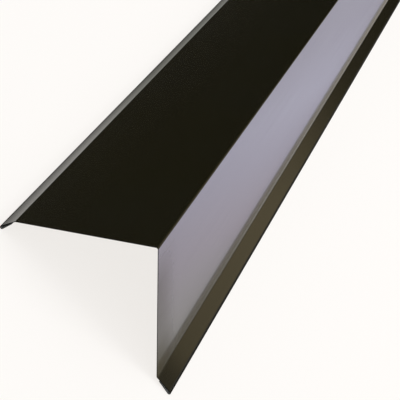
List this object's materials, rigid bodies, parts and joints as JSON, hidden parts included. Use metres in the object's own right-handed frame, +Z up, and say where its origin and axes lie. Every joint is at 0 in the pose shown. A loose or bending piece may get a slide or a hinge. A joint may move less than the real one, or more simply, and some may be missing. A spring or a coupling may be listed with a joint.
{
  "type": "verge flashing",
  "caption": "Verge flashing folded from dark painted steel strip: roof flange with turned-down lip, verge flange with outward drip kick, both edges hemmed.",
  "frame": {"origin": "on the floor, midway along the piece and midway between the two hems that it rests on", "axes": "+X across the sheet from the lip hem to the kick hem, +Y along the length, +Z up through the ridge side"},
  "size_m": [0.1604, 2, 0.0781],
  "materials": {
    "painted_sheet": "gloss"
  },
  "bodies": {
    "root": {"folded_sheet": "painted_sheet"}
  },
  "joints": []
}
